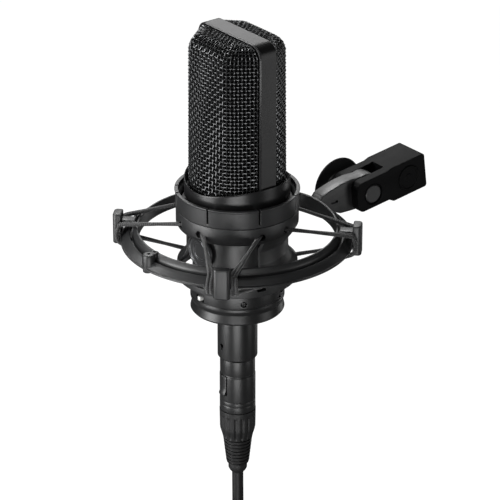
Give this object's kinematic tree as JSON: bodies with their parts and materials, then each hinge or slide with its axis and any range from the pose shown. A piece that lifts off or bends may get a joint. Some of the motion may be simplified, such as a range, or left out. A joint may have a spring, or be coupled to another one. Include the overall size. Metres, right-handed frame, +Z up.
{
  "type": "condenser microphone",
  "caption": "Side-address condenser microphone hung on elastic cords in a ring shock mount, with swivel stand adapter and plugged-in XLR cable end.",
  "frame": {"origin": "centre of the cable stub's cut end face, on the microphone's axis", "axes": "+Z up along the microphone's axis, -Y towards the microphone's front, +Y along the arm towards the stand"},
  "size_m": [0.1218, 0.1827, 0.2848],
  "materials": {
    "black_metal": "satin black paint over zinc and brass",
    "woven_wire": "black woven steel wire, semi-gloss",
    "fine_mesh": "fine black woven screen",
    "black_plastic": "moulded black plastic, fine satin texture",
    "matte_plastic": "matte black moulding",
    "rubber": "matte black rubber",
    "elastic": "black braided elastic cord",
    "brass": "machined brass",
    "gold": "gold-plated contacts",
    "gold_film": "gold-sputtered film",
    "silver_paint": "satin dark badge",
    "zinc": "plain cast metal",
    "screw": "blackened steel",
    "board": "glass-epoxy board",
    "white_plastic": "white moulded plastic",
    "insulator": "dark insulator",
    "nylon": "natural nylon"
  },
  "bodies": {
    "stand": {"stand_adapter": "black_plastic", "thread_insert": "brass", "pivot_bolt": "black_metal", "adapter_badge": "black_plastic", "washer_left": "nylon", "washer_right": "nylon"},
    "knob": {"clamp_knob": "black_plastic"},
    "ring": {"outer_ring": "black_plastic", "clip_1": "black_plastic", "clip_2": "black_plastic", "clip_3": "black_plastic", "clip_4": "black_plastic", "elastic_cord_1": "elastic", "elastic_cord_2": "elastic", "elastic_cord_3": "elastic", "elastic_cord_4": "elastic"},
    "microphone": {"cradle_body": "black_plastic", "collet_band": "black_plastic", "cradle_liner": "rubber", "head_frame": "black_metal", "head_collar": "black_metal", "grille_front": "woven_wire", "grille_rear": "woven_wire", "screen_front": "fine_mesh", "screen_rear": "fine_mesh", "capsule_body": "brass", "diaphragm_front": "gold_film", "diaphragm_rear": "gold_film", "clamp_ring_front": "brass", "clamp_ring_rear": "brass", "capsule_saddle": "matte_plastic", "capsule_isolator": "rubber", "body_tube": "black_metal", "front_badge": "silver_paint", "chassis_frame": "zinc", "circuit_board": "board", "base_ring": "black_metal", "body_screw_1": "screw", "body_screw_2": "screw", "body_screw_3": "screw", "xlr_collar": "black_metal", "xlr_insert": "insulator", "xlr_pin_1": "gold", "xlr_pin_2": "gold", "xlr_pin_3": "gold"},
    "pattern_slider": {"pattern_switch": "white_plastic"},
    "pad_slider": {"pad_switch": "white_plastic"},
    "rolloff_slider": {"rolloff_switch": "white_plastic"},
    "plug": {"plug_shell": "black_metal", "plug_insert": "matte_plastic", "plug_boot": "rubber", "cable_chuck": "matte_plastic", "cable": "rubber"},
    "latch": {"latch_tab": "black_metal"}
  },
  "joints": [
    {"name": "swivel", "type": "hinge", "parent": "stand", "child": "ring", "pos_m": [0, 0.0842, 0.175], "axis": [1, 0, 0], "range_deg": [-90, 90]},
    {"name": "knob_turn", "type": "hinge", "parent": "stand", "child": "knob", "pos_m": [0, 0.0842, 0.175], "axis": [1, 0, 0], "range_deg": [0, 540]},
    {"name": "suspension_bounce", "type": "slide", "parent": "ring", "child": "microphone", "axis": [0, 0, 1], "range_m": [-0.004, 0.004], "stiffness_N_per_m": 4000, "springref_m": 0.00136, "deforming": ["elastic_cord_1", "elastic_cord_2", "elastic_cord_3", "elastic_cord_4"]},
    {"name": "pattern_slide", "type": "hinge", "parent": "microphone", "child": "pattern_slider", "pos_m": [0, 0, 0.142], "axis": [0, 0, 1], "range_deg": [-4.5, 4.5]},
    {"name": "pad_slide", "type": "hinge", "parent": "microphone", "child": "pad_slider", "pos_m": [0, 0, 0.142], "axis": [0, 0, 1], "range_deg": [-4.5, 4.5]},
    {"name": "rolloff_slide", "type": "hinge", "parent": "microphone", "child": "rolloff_slider", "pos_m": [0, 0, 0.142], "axis": [0, 0, 1], "range_deg": [-4.5, 4.5]},
    {"name": "plug_pull", "type": "slide", "parent": "microphone", "child": "plug", "axis": [0, 0, -1], "range_m": [0, 0.02]},
    {"name": "latch_press", "type": "hinge", "parent": "plug", "child": "latch", "pos_m": [0, -0.0074, 0.0808], "axis": [-1, 0, 0], "range_deg": [0, 6], "stiffness_Nm_per_rad": 0.5}
  ]
}
